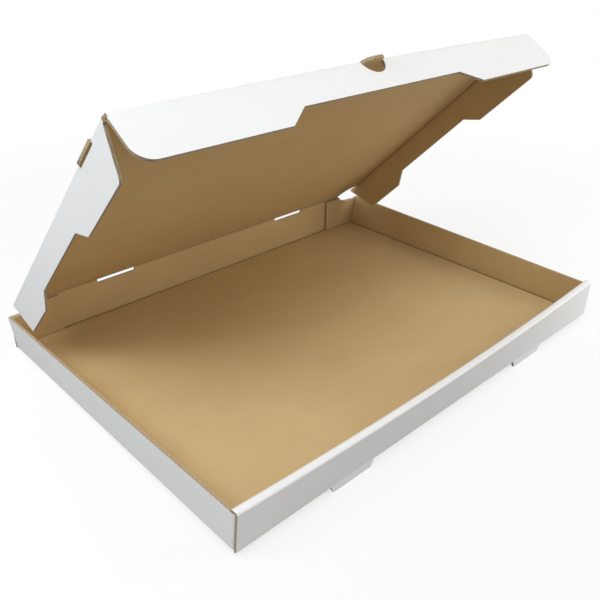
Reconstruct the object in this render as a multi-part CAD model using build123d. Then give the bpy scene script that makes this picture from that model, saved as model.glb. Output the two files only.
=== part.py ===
from build123d import *

import math
import os

# A large rectangular pizza box folded from one sheet of corrugated board, with its lid open.
# The frame stands at the middle of the base's underside: +X right, +Y to the back, +Z up.
# All lengths are in millimetres and all angles in degrees.

# Board
board = 3.0                     # thickness of the corrugated board
fold_radius = 2.4               # outside rounding of a fold
layer_gap = 0.3                 # clearance between layers of board that lie against each other
crease_gap = 0.4                # clearance between a panel's edge and the round root that turns beside it
overrun = 5.0                   # how far a cut runs past the face it opens

# Tray
tray_width = 600.0              # outside, left to right, at the base
tray_depth = 440.0              # outside, front to back
side_wall_height = 46.5         # top edge of the left and right walls
front_height = 50.5             # top of the rolled-over front wall
hinge_height = 55.5             # crease between the back wall and the lid
left_splay = 4.0                # how far the left wall's top leans out at its back end
right_splay = 12.0              # the same for the right wall
front_lean = 11.0               # how far the front wall's top leans out
band_radius = 2.8               # rounding along the top of the rolled-over front wall
corner_flap_length = 62.0       # flaps of the side walls, folded in against the front and back walls
corner_flap_drop = 0.5          # how far a corner flap's top lies below its side wall's top, at the corner
back_flap_rise = 7.0            # how far a back corner flap's top rises from the corner to its free end

# Front locks and hinge slits, one of each kind on either side of the middle
lock_place_share = 0.26         # middle of a lock, from the middle of the box, of the tray's width
lock_length = 62.0              # lock slot along the front fold
lock_bevel = 5.0                # how much shorter its tongue is at each end of its free edge
slit_place_share = 0.2567       # middle of a slit in the hinge crease, from the middle, of the tray's width
slit_length = 56.0
slit_height = 4.0

# Lid
lid_side_inset = 6.0            # from the tray's outer face to a side crease
lid_front_inset = 27.0          # from the tray's front face to the front crease, with the lid shut
lid_angle = 44.5                # how far the lid stands open
relief_width = 26.0             # rounded opening at each end of the hinge crease, along the crease
relief_reach = 28.0             # the same opening along the side crease
relief_drop = 12.0              # and down the back wall and its corner flap

# Front flap of the lid
front_flap_depth = 52.0
front_flap_angle = 77.5         # folded down from the lid's plane
front_flap_corner = 18.0        # rounding of its free corners
front_notch_depth = 18.0        # shallow cut-out along its free edge
front_notch_share = 0.48        # its length at the free edge, of the lid's width
front_notch_bevel = 26.0        # how much shorter the cut-out is at each end of its top

# Side flaps of the lid
side_flap_depth = 46.0
side_flap_angle = 89.0
side_flap_front_gap = 4.0       # from the front crease to the flap's root
side_flap_front_slant = 19.0    # how far the flap's front edge slants back
side_flap_back_gap = 8.0        # from the hinge crease to the flap's root
side_flap_back_slant = 27.6     # how far the flap's back edge slants forward
side_flap_corner = 6.0          # rounding of its front free corner
side_notch_depth = 15.0
side_notch_shares = (0.2576, 0.7096)    # back and front ends of the cut-out, of the lid's reach
side_notch_bevel = 22.0

# Vents in the lid's creases
vent_half_width = 15.5          # rounded tongue of the front vent, left standing in the lid's plane
vent_depth = 13.0               # how far it stands beyond the front crease
vent_place = 5.0                # its middle, to the right of the lid's middle
vent_gap = 1.2                  # clearance between a vent tongue and the opening it leaves
lip_height = 3.0                # side vent lip, from the side crease
lip_length = 36.0
lip_front_gap = 35.5            # from the front crease to the lip's front end

# Values that follow from the ones above
half_width = tray_width / 2
half_depth = tray_depth / 2
half_board = board / 2
edge_setback = half_board + crease_gap              # from a crease's axis to the edge of the panel beside it
roll_depth = 3 * board + 2 * layer_gap              # rolled-over front: wall, corner flap, inner panel
front_slope = front_lean / (front_height - board)   # the front wall's lean for each unit of height
hinge_y = half_depth - half_board
wall_front_y = -half_depth + board + layer_gap      # outer faces of the corner flaps
wall_back_y = half_depth - board - layer_gap
lock_place = lock_place_share * tray_width
slit_place = slit_place_share * tray_width
lid_width = tray_width - 2 * lid_side_inset         # between the two side creases
lid_reach = hinge_y + half_depth - lid_front_inset  # from the hinge crease to the front crease
front_notch_length = front_notch_share * lid_width
side_notch_back = side_notch_shares[0] * lid_reach
side_notch_front = side_notch_shares[1] * lid_reach
lip_start = lid_reach - lip_front_gap - lip_length  # back end of a side vent lip, from the hinge crease
lid_place = Pos(0, hinge_y, hinge_height) * Rot(X=-lid_angle)


def span(x, y, z):
    """Make a box from its lowest and highest values along each axis."""
    size = [high - low for low, high in (x, y, z)]
    middle = [(high + low) / 2 for low, high in (x, y, z)]
    return Pos(*middle) * Box(*size)


def plate(outline, thickness):
    """Make a flat piece of board of an outline in the XY plane, half of its thickness to each side."""
    return extrude(outline, amount=thickness / 2, both=True)


def upright(outline, low_y, high_y):
    """Make a piece of board of an outline in X and Z, standing between two places along Y."""
    face = Plane(origin=(0, high_y, 0), x_dir=(1, 0, 0), z_dir=(0, -1, 0)) * outline
    return extrude(face, amount=high_y - low_y, dir=(0, -1, 0))


def trapezoid(middle, length, bevel, root, free):
    """Make an outline that is shorter by a bevel at each end of its free edge than at its root."""
    half = length / 2
    points = [(middle - half, root), (middle + half, root)]
    points += [(middle + half - bevel, free), (middle - half + bevel, free)]
    return make_face(Polyline(*points, close=True))


def leaning(x, y, z):
    """Make a block that leans as the front wall does, from its limits along each axis at the wall's foot."""
    low, high = z
    heights = [low, board, high] if low < board < high else [low, high]
    leans = [front_slope * max(0, height - board) for height in heights]
    points = [(y[0] - lean, height) for lean, height in zip(leans, heights)]
    points += [(y[1] - lean, height) for lean, height in zip(leans[::-1], heights[::-1])]
    plane = Plane(origin=(x[0], 0, 0), x_dir=(0, 1, 0), z_dir=(1, 0, 0))
    outline = plane * make_face(Polyline(*points, close=True))
    return extrude(outline, amount=x[1] - x[0], dir=(1, 0, 0))


def wall_section(side, place_y, splay, lean):
    """Make a side wall's end above its fold; side is -1 for the left wall and 1 for the right."""
    inner = side * (half_width - board)
    outer = side * half_width
    points = [(inner, place_y, board), (outer, place_y, board)]
    points += [(x + side * splay, place_y - lean, side_wall_height) for x in (outer, inner)]
    return make_face(Polyline(*points, close=True))


def relief_cut(side):
    """Make the lower half of the opening at a hinge end, through the back wall and its corner flap."""
    outline = Pos(side * lid_width / 2, hinge_height) * Ellipse(relief_width, relief_drop)
    return upright(outline, wall_back_y - board - overrun, half_depth + overrun)


def front_corner_flap(side):
    """Make the flap that a side wall turns in between the panels of the front wall."""
    ends = sorted((side * (half_width - half_board), side * (half_width - corner_flap_length)))
    heights = (board + layer_gap, side_wall_height - corner_flap_drop)
    return leaning(ends, (wall_front_y, wall_front_y + board), heights)


def back_corner_flap(side, splay):
    """Make the flap that a side wall turns in along the back wall."""
    top = side_wall_height - corner_flap_drop
    foot = board + layer_gap
    root = half_width - half_board
    slope = splay / (side_wall_height - board)
    free = half_width - corner_flap_length
    crest = top + back_flap_rise
    points = [(root + slope * (z - board), z) for z in (foot, top)]
    points += [(lid_width / 2 - relief_width, crest), (free, crest), (free, foot)]
    outline = make_face(Polyline(*[(side * x, z) for x, z in points], close=True))
    return upright(outline, wall_back_y - board, wall_back_y) - relief_cut(side)


def side_wall(side, splay):
    """Make a side wall with its corner flaps; its back end leans out, and its front end follows the front."""
    across = sorted((side * (half_width - board), side * half_width))
    foot = span(across, (wall_front_y, wall_back_y), (0, board))
    fold = foot.edges().filter_by(Axis.Y).sort_by(lambda edge: side * edge.center().X - edge.center().Z)[-1]
    wall = fillet(fold, fold_radius)
    front_end = wall_section(side, wall_front_y, 0, front_slope * (side_wall_height - board))
    wall += loft([front_end, wall_section(side, wall_back_y, splay, 0)], ruled=True)
    return wall + front_corner_flap(side) + back_corner_flap(side, splay)


def back_wall():
    """Make the back wall, with slits along the crease that it shares with the lid."""
    top = hinge_height - edge_setback
    wall = span((-half_width, half_width), (half_depth - board, half_depth), (0, top))
    fold = wall.edges().filter_by(Axis.X).sort_by(lambda edge: edge.center().Y - edge.center().Z)[-1]
    wall = fillet(fold, fold_radius)
    for side in (-1, 1):
        middle = side * slit_place
        ends = (middle - slit_length / 2, middle + slit_length / 2)
        depth = (half_depth - board - overrun, half_depth + overrun)
        wall -= span(ends, depth, (top - slit_height, top + overrun))
        wall -= relief_cut(side)
    return wall


def front_wall():
    """Make the front wall: outer panel, rounded top band and inner panel, with tabs that lock in the base."""
    front = -half_depth
    back = front + roll_depth
    roll = leaning((-half_width, half_width), (front, back), (0, front_height))
    long_edges = roll.edges().filter_by(Axis.X)
    fold = long_edges.sort_by(lambda edge: edge.center().Y + edge.center().Z)[0]
    roll = fillet(fold, fold_radius)
    top_edges = roll.edges().filter_by(Axis.X).group_by(Axis.Z)[-1]
    roll = fillet(top_edges, band_radius)
    past_ends = (-half_width - overrun, half_width + overrun)
    pocket_top = front_height - board
    roll -= leaning(past_ends, (front + board, back - board), (-overrun, pocket_top))
    roll -= leaning(past_ends, (back - board, back + overrun), (-overrun, board + layer_gap))
    inner_end = half_width - board - layer_gap
    for side in (-1, 1):
        beside = sorted((side * inner_end, side * (half_width + overrun)))
        roll -= leaning(beside, (back - board - layer_gap, back + overrun), (-overrun, pocket_top))
        middle = side * lock_place
        tab = trapezoid(middle, lock_length - 2 * layer_gap, lock_bevel, board + 2 * layer_gap, 0)
        inner_panel = leaning(past_ends, (back - board, back), (0, front_height))
        roll += upright(tab, back - roll_depth, back + overrun) & inner_panel
        tongue = trapezoid(middle, lock_length, lock_bevel, fold_radius, board - roll_depth)
        roll += upright(tongue, front, front + board)
    return roll


def base():
    """Make the base, with the slots that the front wall's tabs lock into."""
    inner_x = half_width - board
    inner_y = half_depth - board
    sheet = span((-inner_x, inner_x), (-inner_y, inner_y), (0, board))
    slot_back = -half_depth + roll_depth + layer_gap
    for side in (-1, 1):
        outline = trapezoid(side * lock_place, lock_length, 0, -inner_y, slot_back)
        sheet -= Pos(0, 0, half_board) * plate(outline, board + overrun)
    return sheet


def tray():
    """Fold the base and its four walls into one piece."""
    return base() + back_wall() + front_wall() + side_wall(-1, left_splay) + side_wall(1, right_splay)


def vent_outline(grow):
    """Make the front vent's rounded outline, grown by a clearance."""
    half = vent_half_width + grow
    left = (vent_place - half, 0)
    right = (vent_place + half, 0)
    crown = (vent_place, -vent_depth - grow)
    return make_face(Curve() + [ThreePointArc(left, crown, right), Line(right, left)])


def lid_panel():
    """Make the lid's panel in its own plane, with the hinge crease along X at its origin."""
    half = lid_width / 2 - edge_setback
    reach = lid_reach - edge_setback
    panel = span((-half, half), (-reach, 0), (-half_board, half_board))
    panel += Cylinder(half_board, 2 * half, rotation=(0, 90, 0))
    for side in (-1, 1):
        relief = Pos(side * lid_width / 2, 0) * Ellipse(relief_width, relief_reach)
        panel -= plate(relief, board + overrun)
        ends = sorted((side * (half - board), side * (lid_width / 2 + lip_height)))
        panel += span(ends, (-lip_start - lip_length, -lip_start), (-half_board, half_board))
    tongue = Pos(0, -lid_reach) * vent_outline(0)
    panel += plate(tongue, board)
    root = (vent_place - vent_half_width, vent_place + vent_half_width)
    panel += span(root, (-lid_reach, -reach + board), (-half_board, half_board))
    return panel


def front_flap():
    """Make the lid's front flap laid flat, with its crease along X at its origin."""
    half = lid_width / 2
    corners = [(-half, 0), (half, 0), (half, -front_flap_depth), (-half, -front_flap_depth)]
    sheet = make_face(Polyline(*corners, close=True))
    sheet = fillet(sheet.vertices().group_by(Axis.Y)[0], front_flap_corner)
    notch_top = front_notch_depth - front_flap_depth
    sheet -= trapezoid(0, front_notch_length, front_notch_bevel, -front_flap_depth, notch_top)
    flap = plate(sheet, board)
    flap += Cylinder(half_board, lid_width, rotation=(0, 90, 0))
    flap -= plate(vent_outline(vent_gap), board + overrun)
    opening = vent_half_width + vent_gap
    vent_ends = (vent_place - opening, vent_place + opening)
    flap -= span(vent_ends, (-edge_setback - crease_gap, board), (-board, board))
    return flap


def side_flap(side):
    """Make a side flap of the lid laid flat, with its crease along Y at its origin, hinge end at the back."""
    root_back = -side_flap_back_gap
    root_front = -lid_reach + side_flap_front_gap
    free_back = root_back - side_flap_back_slant
    free_front = root_front + side_flap_front_slant
    notch_edge = side_flap_depth - side_notch_depth
    outline = [(0, root_back), (side_flap_depth, free_back)]
    outline += [(side_flap_depth, -side_notch_back), (notch_edge, -side_notch_back - side_notch_bevel)]
    outline += [(notch_edge, -side_notch_front + side_notch_bevel), (side_flap_depth, -side_notch_front)]
    outline += [(side_flap_depth, free_front), (0, root_front)]
    sheet = make_face(Polyline(*[(side * x, y) for x, y in outline], close=True))
    tip = sheet.vertices().sort_by_distance((side * side_flap_depth, free_front))[0]
    flap = plate(fillet(tip, side_flap_corner), board)
    root_length = root_back - root_front
    flap += Pos(0, (root_back + root_front) / 2) * Cylinder(half_board, root_length, rotation=(90, 0, 0))
    lip_reach = math.hypot(lip_height, half_board) + crease_gap
    ends = sorted((-side * board, side * lip_reach))
    flap -= span(ends, (-lip_start - lip_length - vent_gap, -lip_start + vent_gap), (-board, board))
    return flap


pieces = {
    "tray": tray(),
    "lid_panel": lid_place * lid_panel(),
    "lid_front_flap": lid_place * Pos(0, -lid_reach, 0) * Rot(X=front_flap_angle) * front_flap(),
    "lid_left_flap": lid_place * Pos(-lid_width / 2, 0, 0) * Rot(Y=-side_flap_angle) * side_flap(-1),
    "lid_right_flap": lid_place * Pos(lid_width / 2, 0, 0) * Rot(Y=side_flap_angle) * side_flap(1),
}

os.makedirs("parts", exist_ok=True)
for name, piece in pieces.items():
    export_step(piece, f"parts/{name}.step")
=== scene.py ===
"""A large white pizza box, standing open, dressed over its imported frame.

Every panel is cut from one kind of corrugated board: a white liner outside, a brown kraft liner inside
and fluted paper between them. Lengths are in millimetres until a mesh is made, and angles in degrees.
"""

from __future__ import annotations

import logging
import math
from dataclasses import dataclass, field
from enum import Enum, IntEnum
from functools import partial
from typing import Any, Callable, Iterable, Sequence, Union

import bmesh
import bpy
from mathutils import Matrix, Vector
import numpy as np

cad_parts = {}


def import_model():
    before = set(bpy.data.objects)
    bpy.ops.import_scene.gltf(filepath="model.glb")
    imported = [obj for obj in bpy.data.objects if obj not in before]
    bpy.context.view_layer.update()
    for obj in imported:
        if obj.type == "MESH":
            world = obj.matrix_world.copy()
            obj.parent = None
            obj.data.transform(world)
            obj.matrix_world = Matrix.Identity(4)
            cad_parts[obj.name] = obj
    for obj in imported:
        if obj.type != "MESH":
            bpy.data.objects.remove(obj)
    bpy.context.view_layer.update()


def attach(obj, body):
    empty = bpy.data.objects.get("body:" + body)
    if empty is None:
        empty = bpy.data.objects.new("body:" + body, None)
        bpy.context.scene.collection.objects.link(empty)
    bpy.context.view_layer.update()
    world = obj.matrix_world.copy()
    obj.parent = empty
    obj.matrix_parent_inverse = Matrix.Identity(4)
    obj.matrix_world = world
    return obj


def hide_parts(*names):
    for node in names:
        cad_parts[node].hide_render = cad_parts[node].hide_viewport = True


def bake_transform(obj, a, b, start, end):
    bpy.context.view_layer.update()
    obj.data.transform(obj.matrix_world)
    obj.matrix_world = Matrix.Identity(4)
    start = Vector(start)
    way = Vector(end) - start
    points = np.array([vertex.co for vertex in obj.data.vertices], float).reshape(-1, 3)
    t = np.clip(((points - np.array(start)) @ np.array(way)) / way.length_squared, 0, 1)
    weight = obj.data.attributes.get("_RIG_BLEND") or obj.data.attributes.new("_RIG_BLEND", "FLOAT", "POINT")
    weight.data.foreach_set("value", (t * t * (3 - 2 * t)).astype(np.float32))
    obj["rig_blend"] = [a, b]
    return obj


LOG = logging.getLogger("pizza_box")
MM = 0.001
SHEET = "sheet"
PRESS = "press"
FLUTE_PITCH = 6.5 * MM
SHEEN = 0.25
WELD = 1e-4
HALF = 0.5
WHITE = (1.0, 1.0, 1.0, 1.0)
SMOOTH = {"interpolation_type": "SMOOTHSTEP"}

Socket = bpy.types.NodeSocket
Material = bpy.types.Material
Piece = bpy.types.Object
Vert = bmesh.types.BMVert
Pair = tuple[float, float]
Triple = tuple[float, float, float]
Place = Callable[[float, float, float], Vector]
Press = Callable[[float, float], float]
Cuts = Iterable[float]
Number = Union["Signal", float]


class Side(IntEnum):
    """The three kinds of surface that a piece of board has, in the order of its material slots."""

    OUTER = 0
    INNER = 1
    CUT = 2


class Hand(Enum):
    """The left and the right of the box, as signs along X."""

    LEFT = -1
    RIGHT = 1


# Shader maths


class Signal:
    """A number that a shader works out, written with Python's operators."""

    def __init__(self, shader: Shader, socket: Socket) -> None:
        """Wrap a socket of a shader's node tree."""
        self.shader = shader
        self.socket = socket

    def math(self, operation: str, *others: Number) -> Signal:
        """Add a Math node, with this signal as its first value."""
        values = dict(enumerate((self, *others)))
        return self.shader.signal(self.shader.node("ShaderNodeMath", {"operation": operation}, values))

    def __add__(self, other: Number) -> Signal:
        """Add a number or a signal."""
        return self.math("ADD", other)

    def __sub__(self, other: Number) -> Signal:
        """Take away a number or a signal."""
        return self.math("SUBTRACT", other)

    def __mul__(self, other: Number) -> Signal:
        """Multiply by a number or a signal."""
        return self.math("MULTIPLY", other)

    def __abs__(self) -> Signal:
        """Drop the sign."""
        return self.math("ABSOLUTE")

    def sine(self) -> Signal:
        """Take the sine."""
        return self.math("SINE")

    def larger(self, other: Number) -> Signal:
        """Take the larger of two."""
        return self.math("MAXIMUM", other)

    def ramp(self, low: float, high: float) -> Signal:
        """Go smoothly from 0 at the first value to 1 at the second, which may be the lower one."""
        sockets = {"Value": self, "From Min": low, "From Max": high}
        return self.shader.signal(self.shader.node("ShaderNodeMapRange", SMOOTH, sockets))


class Shader:
    """A node tree that is being filled."""

    def __init__(self, tree: bpy.types.NodeTree) -> None:
        """Start from an empty tree."""
        self.tree = tree
        tree.nodes.clear()

    def node(self, kind: str, settings: dict[str, Any], sockets: dict[Any, Any]) -> bpy.types.Node:
        """Add a node.

        Args:
            kind: its type, by Blender's name.
            settings: its own properties, which are set first.
            sockets: a value, signal or socket for each input, by number, identifier or name.

        Returns:
            The new node.
        """
        made = self.tree.nodes.new(kind)
        for name, value in settings.items():
            setattr(made, name, value)
        for key, value in sockets.items():
            self._feed(self._input(made, key), value)
        return made

    @staticmethod
    def _input(node: bpy.types.Node, key: Any) -> Socket:
        """Find a node's input by its number, identifier or name."""
        named = {socket.identifier: socket for socket in node.inputs}
        return named[key] if key in named else node.inputs[key]

    def _feed(self, socket: Socket, value: Any) -> None:
        """Set or link an input.

        Args:
            socket: the input.
            value: a value to set it to, or a signal or socket to link it to.
        """
        source = value.socket if isinstance(value, Signal) else value
        if isinstance(source, Socket):
            self.tree.links.new(source, socket)
        else:
            socket.default_value = source

    def signal(self, node: bpy.types.Node, output: Any = 0) -> Signal:
        """Take one output of a node as a number."""
        return Signal(self, node.outputs[output])

    def blend(self, share: Number, low: Any, high: Any) -> Socket:
        """Mix two colours.

        Args:
            share: how much of the second colour shows.
            low: the first colour or a socket.
            high: the second one.

        Returns:
            The mixed colour's socket.
        """
        sockets = {"Factor_Float": share, "A_Color": low, "B_Color": high}
        mixed = self.node("ShaderNodeMix", {"data_type": "RGBA"}, sockets)
        return next(out for out in mixed.outputs if out.identifier == "Result_Color")

    def noise(self, vector: Socket, kind: Noise) -> Signal:
        """Add a noise that is stretched along the sheet.

        Args:
            vector: the place that it reads.
            kind: its cells and octaves.

        Returns:
            The noise, from 0 to 1.
        """
        scaled = self.node("ShaderNodeVectorMath", {"operation": "MULTIPLY"}, {0: vector, 1: kind.stretch})
        sockets = {"Vector": scaled.outputs[0], "Scale": 1.0, "Detail": kind.detail, "Roughness": kind.rough}
        return self.signal(self.node("ShaderNodeTexNoise", {}, sockets), "Fac")

    def board(self, color: Socket, rough: Number, height: Number, bump: float) -> None:
        """Finish the tree as a matte paper surface.

        Args:
            color: its colour.
            rough: its roughness.
            height: its relief in metres.
            bump: how strongly the relief shows.
        """
        bumped = self.node("ShaderNodeBump", {}, {"Strength": bump, "Distance": 1.0, "Height": height})
        sockets = {"Base Color": color, "Roughness": rough, "Normal": bumped.outputs[0]}
        paper = self.node("ShaderNodeBsdfPrincipled", {}, {**sockets, "Specular IOR Level": SHEEN})
        self.node("ShaderNodeOutputMaterial", {}, {"Surface": paper.outputs[0]})


def new_material(name: str) -> tuple[Material, Shader]:
    """Make an empty material.

    Args:
        name: the material's name.

    Returns:
        The material and its node tree.
    """
    material = bpy.data.materials.new(name)
    material.use_nodes = True
    return material, Shader(material.node_tree)


# Finishes


@dataclass(frozen=True)
class Noise:
    """A noise: its cells in a metre along each axis, its octaves and the strength of the finer ones."""

    stretch: Triple
    detail: float
    rough: float


@dataclass(frozen=True)
class Liner:
    """A paper liner of the board, with its fibres, its clouds, faint ridges of the flutes below it, and its
    creases darkened partly as crushed board and partly as painted shade.
    """

    name: str
    pale: Triple
    deep: Triple
    fleck: Triple
    # colour of a crease: the crushed liner, darkened further as painted shade
    pressed: Triple
    cloud_contrast: float
    fleck_share: float
    rough: float
    cloud: Noise = Noise((9.0, 16.0, 1.0), 4.0, 0.62)
    grain: Noise = Noise((420.0, 900.0, 1.0), 3.0, 0.6)
    fibre: Noise = Noise((170.0, 1500.0, 1.0), 2.0, 0.5)
    grain_share: float = 0.6
    fleck_limits: Pair = (0.60, 0.74)
    press_and_shade_share: float = 0.85
    rough_swing: float = 0.12
    flute_relief: float = 0.022 * MM
    fibre_relief: float = 0.05 * MM
    bump: float = 0.55

    def material(self) -> Material:
        """Make the liner's material.

        Returns:
            A material that reads the sheet's own coordinates and the pressed lines of the mesh, where it
            darkens the colour: partly crushed board, partly painted shade in the creases.
        """
        material, shader = new_material(self.name)
        sheet = shader.node("ShaderNodeUVMap", {"uv_map": SHEET}, {}).outputs[0]
        parts = shader.node("ShaderNodeSeparateXYZ", {}, {0: sheet})
        across = shader.signal(parts, 1)
        cloud, grain, fibre = (shader.noise(sheet, kind) for kind in (self.cloud, self.grain, self.fibre))
        clouded = (cloud - HALF) * self.cloud_contrast + HALF
        tone = clouded + (grain - HALF) * (self.grain_share * self.cloud_contrast)
        color = shader.blend(tone, (*self.deep, 1.0), (*self.pale, 1.0))
        color = shader.blend(fibre.ramp(*self.fleck_limits) * self.fleck_share, color, (*self.fleck, 1.0))
        press = shader.signal(shader.node("ShaderNodeAttribute", {"attribute_name": PRESS}, {}), "Fac")
        # Darken along the creases: partly the crushed liner, partly painted shade where the fold falls in
        # shade.
        color = shader.blend(press * self.press_and_shade_share, color, (*self.pressed, 1.0))
        ridges = (across * (2 * math.pi / FLUTE_PITCH)).sine()
        height = ridges * self.flute_relief + (grain + fibre) * self.fibre_relief
        shader.board(color, (grain - HALF) * self.rough_swing + self.rough, height, self.bump)
        return material


@dataclass(frozen=True)
class CutEdge:
    """The raw edge of the board: two liners, and a wave of fluted paper between hollows that are painted dark
    as shade.
    """

    name: str
    paper: Triple
    # dark colour of the flute hollows: painted shade, as the edge is flat
    hollow_shade: Triple
    shades: Pair = (0.72, 1.18)
    swing: float = 0.34
    flute_limits: Pair = (0.17, 0.07)
    liner_share: float = 0.13
    liner_blur: float = 0.03
    fray: Noise = Noise((700.0, 6.0, 1.0), 3.0, 0.6)
    rough: float = 0.85
    rough_swing: float = 0.1
    flute_relief: float = 0.25 * MM
    fray_relief: float = 0.08 * MM
    bump: float = 0.5

    def material(self) -> Material:
        """Make the raw edge's material.

        Returns:
            A material that reads the place along the sheet and the share of its thickness.
        """
        material, shader = new_material(self.name)
        sheet = shader.node("ShaderNodeUVMap", {"uv_map": SHEET}, {}).outputs[0]
        parts = shader.node("ShaderNodeSeparateXYZ", {}, {0: sheet})
        along, share = shader.signal(parts, 0), shader.signal(parts, 1)
        wave = (along * (2 * math.pi / FLUTE_PITCH)).sine() * self.swing + HALF
        flute = abs(share - wave).ramp(*self.flute_limits)
        edge = HALF - self.liner_share
        liners = abs(share - HALF).ramp(edge - self.liner_blur, edge + self.liner_blur)
        fray = shader.noise(sheet, self.fray)
        solid = flute.larger(liners)
        paper = shader.blend(fray, *((*(shade * c for c in self.paper), 1.0) for shade in self.shades))
        # Fill the hollows between the flutes with a dark colour as painted shade.
        color = shader.blend(solid, (*self.hollow_shade, 1.0), paper)
        height = solid * self.flute_relief + fray * self.fray_relief
        shader.board(color, fray * self.rough_swing + self.rough, height, self.bump)
        return material


WHITE_LINER = Liner(
    name="white_liner",
    pale=(0.815, 0.824, 0.833),
    deep=(0.76, 0.77, 0.779),
    fleck=(0.67, 0.66, 0.63),
    # pressed: the crushed liner at a crease, made darker as painted crease shade
    pressed=(0.72, 0.72, 0.72),
    cloud_contrast=0.7,
    fleck_share=0.16,
    rough=0.62,
)
KRAFT_LINER = Liner(
    name="kraft_liner",
    pale=(0.603, 0.441, 0.227),
    deep=(0.50, 0.354, 0.171),
    fleck=(0.306, 0.194, 0.077),
    # pressed: the crushed liner at a crease, made darker as painted crease shade
    pressed=(0.243, 0.153, 0.058),
    cloud_contrast=1.05,
    fleck_share=0.42,
    rough=0.78,
)
# The dark colour of the raw edge's flute hollows is painted shade.
CUT_EDGE = CutEdge(name="cut_edge", paper=(0.505, 0.41, 0.288), hollow_shade=(0.297, 0.23, 0.15))


# Board


@dataclass(frozen=True)
class Stock:
    """The corrugated board that every panel is cut from, in millimetres."""

    thickness: float = 3.0
    bend: float = 1.5
    crush: float = 0.8
    press_width: float = 1.5
    lap: float = 4.0
    cell: float = 28.0
    press_cuts: tuple[float, ...] = (0.6, 1.3, 2.2, 3.6)
    turn_steps: int = 6
    turn_guards: Pair = (0.5, 2.0)

    @property
    def half(self) -> float:
        """Half of the thickness."""
        return self.thickness / 2

    @property
    def corner(self) -> float:
        """Length of a square fold, along the middle of the board."""
        return self.bend * math.pi / 2

    def press(self, distance: float) -> float:
        """How much a crease has pressed the board, at a distance from its line."""
        return math.exp(-((distance / self.press_width) ** 2))


STOCK = Stock()


class Path:
    """A line across folds, made of straight runs and left turns, with the outer liner on its right."""

    def __init__(self, a: float, b: float, heading: float) -> None:
        """Start at a point of a plane, going one way.

        Args:
            a: the first coordinate.
            b: the second one.
            heading: the direction, in degrees from the first axis.
        """
        self.legs: list[tuple[float, Vector, float, float]] = []
        self.end = Vector((a, b))
        self.heading = math.radians(heading)
        self.length = 0.0

    @staticmethod
    def right(heading: float) -> Vector:
        """Find the direction to the right of a heading."""
        return Vector((math.sin(heading), -math.cos(heading)))

    def run(self, length: float) -> Path:
        """Go straight on.

        Args:
            length: how far.

        Returns:
            The line itself.
        """
        self.legs.append((self.length, self.end.copy(), self.heading, 0.0))
        self.end = self.end + length * Vector((math.cos(self.heading), math.sin(self.heading)))
        self.length += length
        return self

    def turn(self, angle: float, radius: float) -> Path:
        """Turn left.

        Args:
            angle: how far, in degrees.
            radius: the turn's radius.

        Returns:
            The line itself.
        """
        self.legs.append((self.length, self.end.copy(), self.heading, radius))
        sweep = math.radians(angle)
        centre = self.end - radius * self.right(self.heading)
        self.heading += sweep
        self.end = centre + radius * self.right(self.heading)
        self.length += radius * sweep
        return self

    def at(self, length: float) -> tuple[Vector, Vector]:
        """Find a place along the line.

        Args:
            length: how far along it.

        Returns:
            The point there and the outer liner's direction.
        """
        begun = [leg for leg in self.legs if leg[0] <= length]
        start, point, heading, radius = begun[-1] if begun else self.legs[0]
        on = length - start
        if not radius:
            return point + on * Vector((math.cos(heading), math.sin(heading))), self.right(heading)
        centre = point - radius * self.right(heading)
        outer = self.right(heading + on / radius)
        return centre + radius * outer, outer

    def off(self, length: float, w: float) -> Vector:
        """Find the point at a place along the line and a distance towards the outer liner."""
        point, outer = self.at(length)
        return point + w * outer

    def turns(self) -> list[Pair]:
        """List where each turn starts and ends, as lengths along the line."""
        ends = [leg[0] for leg in self.legs[1:]] + [self.length]
        return [(leg[0], end) for leg, end in zip(self.legs, ends) if leg[3]]

    def stops(self) -> list[float]:
        """List where a mesh has to be cut so that it can follow the turns.

        Returns:
            Lengths along the line: in each turn, and in the flat parts before and after it.
        """
        found: list[float] = []
        steps = STOCK.turn_steps
        for start, end in self.turns():
            found += [start + (end - start) * step / steps for step in range(steps + 1)]
            for guard in STOCK.turn_guards:
                found += [start - guard, end + guard]
        return found

    def middles(self) -> list[float]:
        """List the middles of the turns, as lengths along the line."""
        return [(start + end) / 2 for start, end in self.turns()]

    def press(self, length: float) -> float:
        """How much the nearest fold has pressed the board, at a length along the line."""
        return max((STOCK.press(length - middle) for middle in self.middles()), default=0.0)


def grid(low: float, high: float) -> list[float]:
    """Divide a stretch into cells of about the usual size, and list the values between them."""
    count = max(1, round((high - low) / STOCK.cell))
    return [low + (high - low) * step / count for step in range(1, count)]


def arc(centre: Pair, radii: Pair, start: float, end: float, steps: int = 10) -> list[Pair]:
    """Sample part of an ellipse, from a start to an end angle in degrees, in a number of chords."""
    angles = [math.radians(start + (end - start) * step / steps) for step in range(steps + 1)]
    return [(centre[0] + radii[0] * math.cos(t), centre[1] + radii[1] * math.sin(t)) for t in angles]


def notch(middle: float, half: float, root: float, top: float, bevel: float = 0.0) -> list[Pair]:
    """List the corners of a cut-out or tongue from left to right, with a bevel at each end of its top."""
    left, right = middle - half, middle + half
    return [(left, root), (left + bevel, top), (right - bevel, top), (right, root)]


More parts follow.
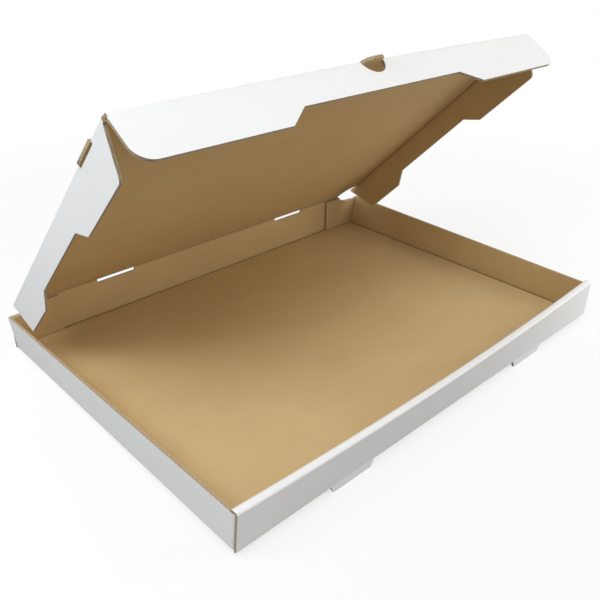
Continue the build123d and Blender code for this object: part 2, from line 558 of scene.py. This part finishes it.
class Board:
    """The panels of one piece, gathered in a mesh before it becomes an object."""

    def __init__(self) -> None:
        """Start with no panel."""
        self.mesh = bmesh.new()
        self.sheet = self.mesh.loops.layers.uv.new(SHEET)
        self.press = self.mesh.verts.layers.float.new(PRESS)

    @staticmethod
    def _flat(outline: Sequence[Pair], u_cuts: Cuts, v_cuts: Cuts) -> bmesh.types.BMesh:
        """Cut a flat outline into cells.

        Args:
            outline: its corners in order.
            u_cuts: where it is cut along its first axis.
            v_cuts: where it is cut along its second one.

        Returns:
            A flat mesh.
        """
        flat = bmesh.new()
        flat.faces.new([flat.verts.new((u, v, 0.0)) for u, v in outline])
        lines = [((u, 0, 0), (1, 0, 0)) for u in u_cuts] + [((0, v, 0), (0, 1, 0)) for v in v_cuts]
        for point, normal in lines:
            everything = flat.verts[:] + flat.edges[:] + flat.faces[:]
            bmesh.ops.bisect_plane(flat, geom=everything, dist=WELD, plane_co=point, plane_no=normal)
        flat.verts.index_update()
        return flat

    def _face(self, corners: Sequence[Vert], side: Side, marks: Sequence[Pair]) -> bmesh.types.BMFace:
        """Add a face.

        Args:
            corners: its corners in order.
            side: its kind of surface.
            marks: its corners' places on the sheet.

        Returns:
            The face.
        """
        face = self.mesh.faces.new(corners)
        face.material_index = int(side)
        face.smooth = True
        for loop, (u, v) in zip(face.loops, marks):
            loop[self.sheet].uv = (u, v)
        return face

    def plate(
        self,
        outline: Sequence[Pair],
        place: Place,
        u_cuts: Cuts = (),
        v_cuts: Cuts = (),
        press: Press | None = None,
    ) -> None:
        """Add a panel of board; its flutes run along its first axis.

        Args:
            outline: its corners on the sheet, in order.
            place: gives the point for a place on the sheet and a distance towards the outer liner.
            u_cuts: where its mesh is cut along the first axis.
            v_cuts: where its mesh is cut along the second axis.
            press: how much a crease has pressed each place, from 0 to 1.
        """
        flat = self._flat(outline, u_cuts, v_cuts)
        twins: list[tuple[Vert, Vert]] = []
        marks: list[Pair] = []
        for vert in flat.verts:
            u, v = vert.co.x, vert.co.y
            pressed = press(u, v) if press else 0.0
            inset = STOCK.crush * pressed - STOCK.half
            twin = tuple(self.mesh.verts.new(place(u, v, w) * MM) for w in (STOCK.half, inset))
            for made in twin:
                made[self.press] = pressed
            twins.append(twin)
            marks.append((u * MM, v * MM))
        made_faces = []
        for face in flat.faces:
            order = [vert.index for vert in face.verts]
            for side, way in ((Side.OUTER, order), (Side.INNER, order[::-1])):
                made_faces.append(self._face([twins[i][side] for i in way], side, [marks[i] for i in way]))
        for edge in flat.edges:
            if edge.is_boundary:
                first, last = (vert.index for vert in edge.verts)
                corners = [twins[first][0], twins[last][0], twins[last][1], twins[first][1]]
                along = [marks[i][1] for i in (first, last, last, first)]
                made_faces.append(self._face(corners, Side.CUT, list(zip(along, (1.0, 1.0, 0.0, 0.0)))))
        bmesh.ops.recalc_face_normals(self.mesh, faces=made_faces)
        flat.free()

    def finish(self, name: str, materials: Sequence[Material]) -> Piece:
        """Turn the panels into an object.

        Args:
            name: its name.
            materials: the outer liner, the inner liner and the raw edge.

        Returns:
            The object, linked to the scene.
        """
        for edge in self.mesh.edges:
            edge.smooth = len({face.material_index for face in edge.link_faces}) == 1
        mesh = bpy.data.meshes.new(name)
        self.mesh.to_mesh(mesh)
        self.mesh.free()
        for material in materials:
            mesh.materials.append(material)
        made = bpy.data.objects.new(name, mesh)
        bpy.context.scene.collection.objects.link(made)
        LOG.info("made %s with %d faces", name, len(mesh.polygons))
        return made


# Sub-assemblies


@dataclass
class Tray:
    """The folded and locked tray: base, four walls, corner flaps and rolled-over front."""

    materials: Sequence[Material]
    width: float = 600.0
    depth: float = 440.0
    side_height: float = 46.5
    front_height: float = 50.5
    back_height: float = 51.5
    splay: dict[Hand, float] = field(default_factory=lambda: {Hand.LEFT: 4.0, Hand.RIGHT: 12.0})
    front_leans: Triple = (5.0, 10.3, 0.5)
    layer_gap: float = 0.3
    flap_length: float = 62.0
    flap_drop: float = 0.5
    back_flap_rise: float = 7.0
    hinge_height: float = 55.5
    lid_half: float = 294.0
    relief: Pair = (26.0, 12.0)
    lock_place: float = 156.0
    lock_length: float = 62.0
    lock_bevel: float = 5.0
    tongue_drop: float = 6.6
    slit_place: float = 154.0
    slit_length: float = 56.0
    slit_depth: float = 1.9
    relief_steps: int = 14
    fold_offset: float = 0.4
    press_reach: float = 2.0
    board: Board = field(default_factory=Board, init=False)

    @property
    def inner_x(self) -> float:
        """Inner faces of the side walls at their feet."""
        return self.width / 2 - STOCK.thickness

    @property
    def inner_y(self) -> float:
        """Inner faces of the front panel and the back wall."""
        return self.depth / 2 - STOCK.thickness

    @property
    def roll(self) -> float:
        """Depth of the rolled-over front: wall, corner flap and inner panel."""
        return 3 * STOCK.thickness + 2 * self.layer_gap

    def front_lean(self, x: float, z: float) -> float:
        """How far the front wall leans out, at a place along X and a height.

        Args:
            x: the place along X.
            z: the height.

        Returns:
            A distance that grows with the height, most near the middle of the wall.
        """
        left, middle, right = self.front_leans
        t = 2 * x / self.width
        top = middle + (right - left) / 2 * t + ((left + right) / 2 - middle) * t * t
        return top * max(0.0, z - STOCK.thickness) / (self.front_height - STOCK.thickness)

    def relief_curve(self, high: float, far: float) -> list[Pair]:
        """Sample the opening at an end of the hinge crease, where it goes down into the wall and its flap.

        Args:
            high: the height that it starts at.
            far: the place along X that it ends at.

        Returns:
            Places along X and heights, towards the corner.
        """
        start = math.degrees(math.asin((self.hinge_height - high) / self.relief[1]))
        end = math.degrees(math.acos((self.lid_half - far) / self.relief[0]))
        centre = (self.lid_half, self.hinge_height)
        return arc(centre, self.relief, 180 + start, 180 + end, self.relief_steps)

    def build(self) -> Piece:
        """Build the tray.

        Returns:
            Its object.
        """
        self.add_base()
        for hand in Hand:
            self.add_side(hand)
        self.add_back()
        self.add_front()
        return self.board.finish("tray_board", self.materials)

    def add_base(self) -> None:
        """Add the base, with the slots for the front tabs at its front edge."""
        x, y = self.inner_x, self.inner_y
        slot_back = -self.depth / 2 + self.roll + self.layer_gap
        outline: list[Pair] = [(-x, y), (-x, -y)]
        for hand in Hand:
            outline += notch(hand.value * self.lock_place, self.lock_length / 2, -y, slot_back)
        outline += [(x, -y), (x, y)]
        cuts = [[s * (e - d) for d in STOCK.press_cuts for s in (-1, 1)] + grid(-e, e) for e in (x, y)]

        def press(u: float, v: float) -> float:
            """Pressed along the folds at the sides and the back."""
            return STOCK.press(min(x - abs(u), y - v) + self.fold_offset)

        self.board.plate(outline, lambda u, v, w: Vector((u, v, STOCK.half - w)), *cuts, press)

    def add_side(self, hand: Hand) -> None:
        """Add a side wall and its two corner flaps as one bent panel.

        Args:
            hand: which wall.
        """
        rise = Path(-STOCK.half, STOCK.half, 0).turn(90, STOCK.bend).run(self.side_height - STOCK.thickness)
        flap = self.flap_length - STOCK.thickness
        wall = 2 * (self.inner_y - self.layer_gap - STOCK.thickness)
        back = self.inner_y - self.layer_gap - STOCK.half
        plan = Path(-(self.inner_x - flap), back, 180).run(flap).turn(90, STOCK.bend).run(wall)
        plan.turn(90, STOCK.bend).run(flap)
        bend = STOCK.corner
        back_end, front_end = flap + bend, flap + bend + wall
        turned, tip = flap + 2 * bend + wall, plan.length
        foot = bend + self.layer_gap
        top, flap_top = rise.length, rise.length - self.flap_drop
        crest = flap_top + self.back_flap_rise
        outline = [(foot, 0), (crest, 0)]
        ground = STOCK.thickness - bend
        free = self.width / 2 - self.flap_length
        splay, height = self.splay[hand], self.side_height - STOCK.thickness
        for x, z in self.relief_curve(crest + ground, self.inner_x + splay):
            shear = 1 + splay * (z - STOCK.thickness) / height / flap
            outline.append((z - ground, min(flap, (x - free) / shear)))
        outline += [(top, back_end), (top, front_end), (flap_top, turned), (flap_top, tip)]
        outline += [(foot, tip), (foot, turned), (0, front_end), (0, back_end), (foot, flap)]

        def lean(v: float) -> float:
            """How far the wall's top leans out: most at the back corner, none at the front."""
            return splay * (v / flap if v < flap else max(0.0, min(1.0, (front_end - v) / wall)))

        def place(u: float, v: float, w: float) -> Vector:
            """Bend the panel up from the base and round its corners.

            Args:
                u: the place up the wall.
                v: the place round the corners.
                w: the distance towards the outer liner.

            Returns:
                The point.
            """
            offset, z = rise.off(u, w)
            spot = plan.off(v, offset)
            x = -hand.value * (spot.x - lean(v) * max(0.0, z - STOCK.thickness) / height)
            ahead = max(0.0, min(1.0, (v - back_end) / wall)) * self.front_lean(x, z)
            return Vector((x, spot.y - ahead, z))

        cuts = rise.stops() + grid(bend, top), plan.stops() + grid(back_end, front_end)
        self.board.plate(outline, place, *cuts, lambda u, v: max(rise.press(u), plan.press(v)))

    def add_back(self) -> None:
        """Add the back wall, with slits where the lid's crease crosses its top."""
        rise = Path(self.inner_y, STOCK.half, 0).turn(90, STOCK.bend).run(self.back_height - STOCK.thickness)
        x, top = self.width / 2, rise.length
        ground = STOCK.thickness - STOCK.corner
        corner = [(far, z - ground) for far, z in self.relief_curve(self.back_height, x)]
        outline: list[Pair] = [(x, 0), (-x, 0)]
        outline += [(-far, v) for far, v in reversed(corner)]
        for hand in Hand:
            outline += notch(hand.value * self.slit_place, self.slit_length / 2, top, top - self.slit_depth)
        outline += corner

        def place(u: float, v: float, w: float) -> Vector:
            """Bend the wall up from the base."""
            return Vector((u, *rise.off(v, w)))

        self.board.plate(outline, place, grid(-x, x), rise.stops(), lambda u, v: rise.press(v))

    def add_front(self) -> None:
        """Add the front: outer panel, top band and inner panel in one roll, with its tabs and tongues."""
        rise = self.front_height - 2 * STOCK.thickness
        band = self.roll - 2 * STOCK.thickness
        roll = Path(self.inner_y, STOCK.half, 0).turn(90, STOCK.bend).run(rise).turn(90, STOCK.bend)
        over = roll.run(band).turn(90, STOCK.bend).length
        roll.run(rise - self.layer_gap)
        low = roll.length
        roll.run(STOCK.thickness + self.layer_gap)
        x, inner_x = self.width / 2, self.inner_x - self.layer_gap
        half = self.lock_length / 2
        places = [hand.value * self.lock_place for hand in Hand]
        outline: list[Pair] = [(-x, 0)]
        for middle in places:
            outline += notch(middle, half, 0, STOCK.corner)
        outline += [(x, 0), (x, over), (inner_x, over), (inner_x, low)]
        for middle in reversed(places):
            outline += notch(middle, half - self.layer_gap, low, roll.length, self.lock_bevel)[::-1]
        outline += [(-inner_x, low), (-inner_x, over), (-x, over)]

        def place(u: float, v: float, w: float) -> Vector:
            """Bend the panel up from the base, over the corner flaps and down behind them."""
            out, z = roll.off(v, w)
            return Vector((u, -out - self.front_lean(u, z), z))

        def press(_: float, v: float) -> float:
            """Pressed along the folds of the outer panel and the band."""
            return roll.press(v) if v < over + self.press_reach else 0.0

        self.board.plate(outline, place, grid(-x, x), roll.stops(), press)
        face = self.depth / 2 - STOCK.half
        for middle in places:
            tongue = notch(middle, half, STOCK.thickness, -self.tongue_drop, self.lock_bevel)
            self.board.plate(tongue[::-1], lambda u, v, w: Vector((u, -face - w, v)))


@dataclass
class Lid:
    """The lid in its own plane: a panel, three flaps and the creases between them."""

    materials: Sequence[Material]
    hinge: Triple = (0.0, 218.5, 55.5)
    angle: float = 44.5
    width: float = 588.0
    reach: float = 411.5
    bow: float = 3.0
    bow_fade: float = 20.0
    relief: Pair = (26.0, 28.0)
    relief_drop: float = 12.0
    slit_place: float = 154.0
    slit_length: float = 56.0
    front_depth: float = 52.0
    front_angle: float = 77.5
    front_corner: float = 18.0
    notch_depth: float = 18.0
    notch_length: float = 282.24
    notch_bevel: float = 26.0
    side_depth: float = 46.0
    side_angle: float = 89.0
    side_root: Pair = (8.0, 407.5)
    side_slants: Pair = (27.6, 19.0)
    side_corner: float = 6.0
    side_notch: Triple = (199.0, 93.0, 15.0)
    side_bevel: float = 22.0
    vent_place: float = 5.0
    vent_half: float = 15.5
    vent_depth: float = 13.0
    vent_gap: float = 1.2
    lip: Triple = (3.0, 340.0, 376.0)
    slit_overlap: float = 0.4
    root_step: float = 1.0
    crease_inset: float = 1.0
    hinge_bend: float = 3.2
    front_bend: float = 2.8
    side_bend: float = 2.4
    relief_steps: int = 12
    vent_steps: int = 18
    corner_steps: int = 6
    curl_shares: tuple[float, ...] = (0.0, 0.3, 0.5, 0.65, 0.78, 0.9)
    front_cuts: Pair = (6.0, 12.0)
    side_cuts: Pair = (8.0, 7.0)

    def __post_init__(self) -> None:
        """Work out the lid's own axes and its folds."""
        tilt = math.radians(self.angle)
        self.ahead = Vector((0.0, -math.cos(tilt), math.sin(tilt)))
        self.outward = Vector((0.0, math.sin(tilt), math.cos(tilt)))
        self.half = self.width / 2
        self.hinge_fold = self.fold(90 - self.angle, STOCK.lap)
        self.front_fold = self.fold(self.front_angle, self.front_depth)
        self.side_fold = self.fold(self.side_angle, self.side_depth)

    @staticmethod
    def fold(angle: float, far: float) -> Path:
        """Make the line across a crease of an angle, from one lap before its axis to far beyond it."""
        tangent = STOCK.bend * math.tan(math.radians(angle) / 2)
        return Path(-STOCK.lap, 0, 0).run(STOCK.lap - tangent).turn(angle, STOCK.bend).run(far - tangent)

    @staticmethod
    def along(fold: Path, far: float) -> float:
        """Convert a distance beyond a crease's axis to a length along its line."""
        start, end = fold.turns()[0]
        return end + far - (STOCK.lap - start)

    def point(self, x: float, s: float, w: float) -> Vector:
        """Find a point from its place along the hinge and its distances from the hinge and the plane."""
        return Vector(self.hinge) + Vector((x, 0.0, 0.0)) + s * self.ahead + w * self.outward

    def rise(self, x: float, s: float) -> float:
        """Work out how far the bowed lid lies outside its plane.

        Args:
            x: the place along the hinge.
            s: the distance from the hinge, in the lid's plane.

        Returns:
            The distance, which falls to nothing along the vent tongue.
        """
        share = max(0.0, min(1.0, s / self.reach))
        dip = min(1.0, max(0.0, s - self.reach) / self.vent_depth) ** 2
        crown = self.bow * (1 - min(1.0, abs(x) / self.half) ** 2)
        return crown * share * share * (3 - 2 * share) * (1 - dip)

    def spot(self, x: float, s: float, w: float) -> Vector:
        """Place a point of the bowed lid: x along the hinge, s from the hinge, w outwards."""
        return self.point(x, s, w + self.rise(x, s))

    def vent_curve(self, grow: float, start: float) -> list[Pair]:
        """Sample the front vent's rounded curve.

        Args:
            grow: how much wider than the tongue it is.
            start: how far beyond the front crease it starts and ends.

        Returns:
            Points from left to right, as distances along and beyond the front crease.
        """
        half, depth = self.vent_half + grow, self.vent_depth + grow
        radius = (half * half + depth * depth) / (2 * depth)
        low = math.degrees(math.asin((start + radius - depth) / radius))
        return arc((self.vent_place, depth - radius), (radius, radius), 180 - low, low, self.vent_steps)

    def panel(self) -> Piece:
        """Build the lid's panel, with its relief openings, vent tongue and lips.

        Returns:
            Its object.
        """
        lap = STOCK.lap
        edge, front = self.half - lap, self.reach - lap
        wide, deep = self.relief
        start = math.degrees(math.asin(lap / deep))
        stop = math.degrees(math.acos(lap / wide))
        right = arc((self.half, 0.0), (-wide, deep), start, stop, self.relief_steps)
        lip, lip_back, lip_front = self.lip
        tip = self.half + lip
        right += [(edge, lip_back), (tip, lip_back), (tip, lip_front), (edge, lip_front), (edge, front)]
        outline: list[Pair] = []
        for hand in Hand:
            outline += notch(hand.value * self.slit_place, self.slit_length / 2, lap, -self.slit_overlap)
        outline += [*right, (self.vent_place + self.vent_half, front)]
        outline += [(x, self.reach + s) for x, s in reversed(self.vent_curve(0.0, 0.0))]
        outline += [(self.vent_place - self.vent_half, front), *((-x, s) for x, s in reversed(right))]
        board = Board()
        curl = [self.reach + self.vent_depth * share for share in self.curl_shares]
        board.plate(outline, self.spot, grid(-edge, edge), grid(lap, front) + curl)
        return board.finish("lid_board", self.materials)

    def front_place(self, u: float, v: float, w: float) -> Vector:
        """Place a point of the front flap or its crease.

        Args:
            u: the place along the hinge.
            v: the length along the fold's line.
            w: the distance towards the outer liner.

        Returns:
            The point, with the lid's bow at the crease and none farther down the flap.
        """
        ahead, down = self.front_fold.off(v, w)
        ease = 1 - min(1.0, max(0.0, v - self.front_fold.middles()[0]) / self.bow_fade)
        return self.point(u, self.reach + ahead, ease * self.rise(u, self.reach) - down)

    def front_flap(self) -> Piece:
        """Build the front flap, with its rounded corners, its long cut-out and the vent's opening.

        Returns:
            Its object.
        """
        fold = self.front_fold
        root, free = self.along(fold, STOCK.lap), fold.length
        r, half = self.front_corner, self.half
        hole = [(x, self.along(fold, s)) for x, s in self.vent_curve(self.vent_gap, STOCK.lap)]
        outline: list[Pair] = [(-half, root), *hole, (half, root)]
        outline += arc((half - r, free - r), (r, r), 0, 90)
        outline += notch(0.0, self.notch_length / 2, free, free - self.notch_depth, self.notch_bevel)[::-1]
        outline += arc((-half + r, free - r), (r, r), 90, 180)
        board = Board()
        cuts = [root + self.front_cuts[0], fold.middles()[0] + self.bow_fade, free - self.front_cuts[1]]
        board.plate(outline, self.front_place, grid(-half, half), cuts)
        return board.finish("lid_front_flap_board", self.materials)

    def front_crease(self) -> Piece:
        """Build the crease between the panel and the front flap, in a stretch on each side of the vent.

        Returns:
            Its object, which bends with the flap.
        """
        fold = self.front_fold
        end = self.along(fold, STOCK.lap)
        middle = fold.middles()[0]
        opening = self.vent_half + self.vent_gap
        tip, heel = self.vent_place - opening, self.vent_place + opening
        x = self.half - self.crease_inset
        hole = self.vent_curve(self.vent_gap, STOCK.lap)
        left = [(-x, 0.0), (tip, 0.0), (tip, middle), (hole[0][0], end), (-x, end)]
        right = [(heel, 0.0), (x, 0.0), (x, end), (hole[-1][0], end), (heel, middle)]
        board = Board()
        for outline in (left, right):
            board.plate(outline, self.front_place, grid(-x, x), fold.stops(), lambda u, v: fold.press(v))
        made = board.finish("front_crease", self.materials)
        near = self.front_bend
        start = self.spot(self.half, self.reach - near, 0.0)
        stop = self.front_place(self.half, self.along(fold, near), 0.0)
        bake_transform(made, "lid", "front_flap", start=tuple(start * MM), end=tuple(stop * MM))
        return made

    def side_place(self, hand: Hand, u: float, v: float, w: float) -> Vector:
        """Place a point of a side flap or its crease: u along the fold, v from the hinge, w outwards."""
        out, down = self.side_fold.off(u, w)
        return self.point(hand.value * (self.half + out), v, -down)

    def side_flap(self, hand: Hand) -> Piece:
        """Build a side flap, with its slanted ends and its shallow cut-out.

        Args:
            hand: which side.

        Returns:
            Its object.
        """
        fold = self.side_fold
        root, free = self.along(fold, STOCK.lap), fold.length
        back, front = self.side_root
        share = STOCK.lap / self.side_depth
        bare = fold.middles()[0]
        middle, half, depth = self.side_notch
        inner = free - depth
        back_slant, front_slant = self.side_slants
        slope = math.atan2(front_slant, self.side_depth)
        r = self.side_corner
        centre = (free - r, front - front_slant - r * math.tan(math.pi / 4 - slope / 2))
        outline: list[Pair] = [(bare, back), (free, back + back_slant)]
        outline += [(u, v) for v, u in notch(middle, half, free, inner, self.side_bevel)]
        outline += arc(centre, (r, r), 0, 90 - math.degrees(slope), self.corner_steps)
        outline += [(root, front - front_slant * share), (root, self.relief[1])]
        outline.append((bare, self.relief[1] - self.root_step))
        board = Board()
        cuts = fold.stops() + [root + self.side_cuts[0], inner, free - self.side_cuts[1]]
        board.plate(outline, partial(self.side_place, hand), cuts, grid(back, front))
        return board.finish(f"lid_{hand.name.lower()}_flap_board", self.materials)

    def side_crease(self, hand: Hand) -> Piece:
        """Build the crease between the panel and a side flap, in a stretch on each side of the vent lip.

        Args:
            hand: which side.

        Returns:
            Its object, which bends with the flap.
        """
        fold = self.side_fold
        end = self.along(fold, STOCK.lap)
        _, lip_back, lip_front = self.lip
        gap, place = self.vent_gap, partial(self.side_place, hand)
        board = Board()
        for low, high in ((self.relief[1], lip_back - gap), (lip_front + gap, self.side_root[1])):
            outline = [(0.0, low), (end, low), (end, high), (0.0, high)]
            board.plate(outline, place, fold.stops(), grid(low, high), lambda u, v: fold.press(u))
        made = board.finish(f"{hand.name.lower()}_crease", self.materials)
        near, middle = self.side_bend, self.reach / 2
        start = place(STOCK.lap - near, middle, 0.0)
        stop = place(self.along(fold, near), middle, 0.0)
        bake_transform(made, "lid", f"{hand.name.lower()}_flap", start=tuple(start * MM), end=tuple(stop * MM))
        return made

    def hinge_place(self, u: float, v: float, w: float) -> Vector:
        """Place a point of the hinge crease: u along the hinge, v up the back wall and over to the lid."""
        up, ahead = self.hinge_fold.off(v, w)
        return Vector(self.hinge) + Vector((u, -ahead, up))

    def hinge_crease(self) -> Piece:
        """Build the crease between the back wall and the lid, broken by its two slits.

        Returns:
            Its object, which bends with the lid.
        """
        fold = self.hinge_fold
        end = fold.length
        half = self.slit_length / 2
        wide, deep = self.relief
        depths = (self.relief_drop, deep)
        low, high = (self.half - wide * math.sqrt(1 - (STOCK.lap / depth) ** 2) for depth in depths)
        outer = [(low, 0.0), (self.half - wide, fold.middles()[0]), (high, end)]
        inner = self.slit_place + half
        outlines = [[(-x, v) for x, v in reversed(outer)] + [(-inner, 0.0), (-inner, end)]]
        slit = self.slit_place - half
        outlines.append([(-slit, 0.0), (slit, 0.0), (slit, end), (-slit, end)])
        outlines.append([(inner, 0.0), *outer, (inner, end)])
        board = Board()
        for outline in outlines:
            cuts = grid(min(x for x, _ in outline), max(x for x, _ in outline))
            board.plate(outline, self.hinge_place, cuts, fold.stops(), lambda u, v: fold.press(v))
        made = board.finish("hinge_crease", self.materials)
        near = self.hinge_bend
        start = self.hinge_place(0.0, STOCK.lap - near, 0.0)
        stop = self.hinge_place(0.0, self.along(fold, near), 0.0)
        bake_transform(made, "tray", "lid", start=tuple(start * MM), end=tuple(stop * MM))
        return made


# Stage


@dataclass(frozen=True)
class Softbox:
    """A large soft lamp that points at the box."""

    name: str
    place: Triple
    size: Pair
    power: float
    color: Triple = (1.0, 1.0, 1.0)

    def build(self, target: Vector) -> None:
        """Hang the lamp.

        Args:
            target: the point that it faces.
        """
        lamp = bpy.data.lights.new(self.name, "AREA")
        lamp.shape = "RECTANGLE"
        lamp.size, lamp.size_y = self.size
        lamp.energy = self.power
        lamp.color = self.color
        made = bpy.data.objects.new(self.name, lamp)
        made.location = Vector(self.place)
        made.rotation_euler = (target - made.location).to_track_quat("-Z", "Y").to_euler()
        bpy.context.scene.collection.objects.link(made)


@dataclass
class Studio:
    """The pale floor, the soft light and the camera."""

    camera_place: Triple = (-545.7, -559.3, 478.4)
    camera_target: Triple = (-30.6, -9.5, 60.0)
    camera_roll: float = 0.38
    lens: float = 42.14
    sensor: float = 36.0
    clip: Pair = (0.01, 200.0)
    floor_size: float = 60.0
    floor_shades: Pair = (0.22, 0.80)
    glow_shares: Pair = (0.72, 1.0)
    glow_radii: Pair = (0.5, 1.1)
    ambient: float = 0.45
    ambient_tint: Triple = (1.0, 0.985, 0.96)
    tongue_drop: float = 6.6
    depth: float = 440.0
    lamp_target: Triple = (0.0, 0.0, 0.12)
    lamps: Sequence[Softbox] = (
        Softbox("top_softbox", (-1.8, -1.4, 4.4), (3.0, 3.0), 120.0, (0.965, 0.99, 1.0)),
        Softbox("right_softbox", (1.3, -1.2, 1.1), (0.9, 0.9), 8.8, (1.0, 0.93, 0.85)),
        Softbox("right_low_softbox", (0.64, -0.46, 0.12), (0.5, 0.3), 1.3, (1.0, 0.97, 0.92)),
        Softbox("left_softbox", (-0.78, 0.14, 0.7), (0.35, 0.35), 2.7, (0.95, 0.985, 1.0)),
        Softbox("left_low_softbox", (-0.66, -0.96, 0.12), (0.5, 0.3), 1.0, (1.0, 0.93, 0.83)),
        Softbox("back_softbox", (0.0, 2.4, 1.6), (1.2, 1.2), 12.0),
    )

    def seen(self, shader: Shader) -> Signal:
        """Add the mark of a ray that shows the backdrop.

        Args:
            shader: the tree that it goes into.

        Returns:
            One for a ray from the camera, a reflection or glass, and nought for the others.
        """
        ray = shader.node("ShaderNodeLightPath", {}, {})
        straight = shader.signal(ray, "Is Camera Ray").larger(shader.signal(ray, "Is Glossy Ray"))
        return straight.larger(shader.signal(ray, "Is Transmission Ray"))

    def floor(self) -> None:
        """Lay a pale floor that touches the box's two front tongues and its back edge."""
        half = self.floor_size / 2
        mesh = bpy.data.meshes.new("floor")
        corners = [(-half, -half, 0), (half, -half, 0), (half, half, 0), (-half, half, 0)]
        mesh.from_pydata(corners, [], [(0, 1, 2, 3)])
        made = bpy.data.objects.new("floor", mesh)
        made.location = Vector((0.0, self.depth / 2, 0.0)) * MM
        made.rotation_euler = (math.atan2(self.tongue_drop, self.depth), 0.0, 0.0)
        bpy.context.scene.collection.objects.link(made)
        material, shader = new_material("pale_floor")
        seen = self.seen(shader)
        place = shader.node("ShaderNodeNewGeometry", {}, {}).outputs["Position"]
        length = shader.node("ShaderNodeVectorMath", {"operation": "LENGTH"}, {0: place})
        away = shader.signal(length, "Value")
        low, high = self.glow_shares
        share = seen * (away.ramp(*self.glow_radii) * (high - low) + low)
        tone = shader.blend(seen, *((shade, shade, shade, 1.0) for shade in self.floor_shades))
        matte = shader.node("ShaderNodeBsdfDiffuse", {}, {"Color": tone})
        glow = shader.node("ShaderNodeEmission", {}, {"Color": WHITE, "Strength": 1.0})
        sockets = {0: share, 1: matte.outputs[0], 2: glow.outputs[0]}
        mixed = shader.node("ShaderNodeMixShader", {}, sockets)
        shader.node("ShaderNodeOutputMaterial", {}, {"Surface": mixed.outputs[0]})
        mesh.materials.append(material)

    def sky(self) -> None:
        """Light the room evenly, with a white backdrop behind the box."""
        world = bpy.data.worlds.new("studio")
        bpy.context.scene.world = world
        world.use_nodes = True
        shader = Shader(world.node_tree)
        seen = self.seen(shader)
        tone = shader.blend(seen, (*self.ambient_tint, 1.0), WHITE)
        level = seen * (1.0 - self.ambient) + self.ambient
        light = shader.node("ShaderNodeBackground", {}, {"Color": tone, "Strength": level})
        shader.node("ShaderNodeOutputWorld", {}, {"Surface": light.outputs[0]})

    def camera(self) -> None:
        """Set the camera where the photograph was taken from."""
        data = bpy.data.cameras.new("camera")
        data.lens, data.sensor_width = self.lens, self.sensor
        data.clip_start, data.clip_end = self.clip
        made = bpy.data.objects.new("camera", data)
        bpy.context.scene.collection.objects.link(made)
        eye = Vector(self.camera_place) * MM
        ahead = (Vector(self.camera_target) * MM - eye).normalized()
        level = ahead.cross(Vector((0.0, 0.0, 1.0))).normalized()
        roll = math.radians(self.camera_roll)
        right = level * math.cos(roll) + level.cross(ahead) * math.sin(roll)
        up = right.cross(ahead)
        made.matrix_world = Matrix.Translation(eye) @ Matrix((right, up, -ahead)).transposed().to_4x4()
        bpy.context.scene.camera = made

    def build(self) -> None:
        """Set up the floor, the light and the camera."""
        bpy.context.scene.view_settings.view_transform = "Standard"
        self.camera()
        self.floor()
        self.sky()
        for lamp in self.lamps:
            lamp.build(Vector(self.lamp_target))


def carry(piece: Piece, body: str, node: str) -> None:
    """Let a piece stand for a node of the frame and move with its body.

    Args:
        piece: the dressed piece.
        body: the body that it moves with.
        node: the node that it stands for.
    """
    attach(piece, body)
    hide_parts(node)
    LOG.info("%s stands for %s on %s", piece.name, node, body)


def main() -> None:
    """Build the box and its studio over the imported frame."""
    logging.basicConfig(level=logging.INFO, format="%(name)s: %(message)s")
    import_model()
    Studio().build()
    materials = [WHITE_LINER.material(), KRAFT_LINER.material(), CUT_EDGE.material()]
    tray, lid = Tray(materials), Lid(materials)
    carry(tray.build(), "tray", "tray")
    carry(lid.panel(), "lid", "lid_panel")
    carry(lid.front_flap(), "front_flap", "lid_front_flap")
    for hand in Hand:
        name = hand.name.lower()
        carry(lid.side_flap(hand), f"{name}_flap", f"lid_{name}_flap")
    creases = [lid.hinge_crease(), lid.front_crease(), *(lid.side_crease(hand) for hand in Hand)]


if __name__ == "__main__":
    main()
